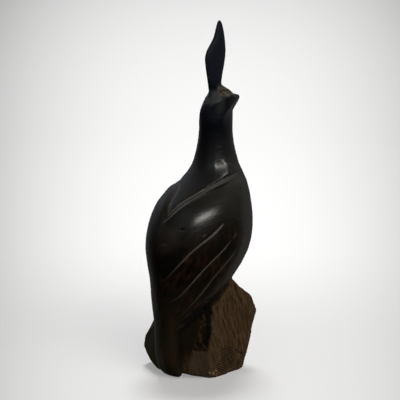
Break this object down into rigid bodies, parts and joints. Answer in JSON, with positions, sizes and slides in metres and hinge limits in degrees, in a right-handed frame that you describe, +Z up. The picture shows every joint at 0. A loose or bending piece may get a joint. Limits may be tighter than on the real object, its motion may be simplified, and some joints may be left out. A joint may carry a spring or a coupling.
{
  "type": "bird figurine",
  "caption": "Carved ironwood quail with a tall leaf-shaped plume, folded wings and incised feather lines, on the rough-hewn block it was cut from.",
  "frame": {"origin": "On the ground, in the bird's mirror plane, below the middle of its body.", "axes": "+Z up; the bird looks along -Y; its right wing is on the -X side."},
  "size_m": [0.0921, 0.1099, 0.32],
  "materials": {
    "ironwood": "polished"
  },
  "bodies": {
    "root": {"quail_carving": "ironwood"}
  },
  "joints": []
}
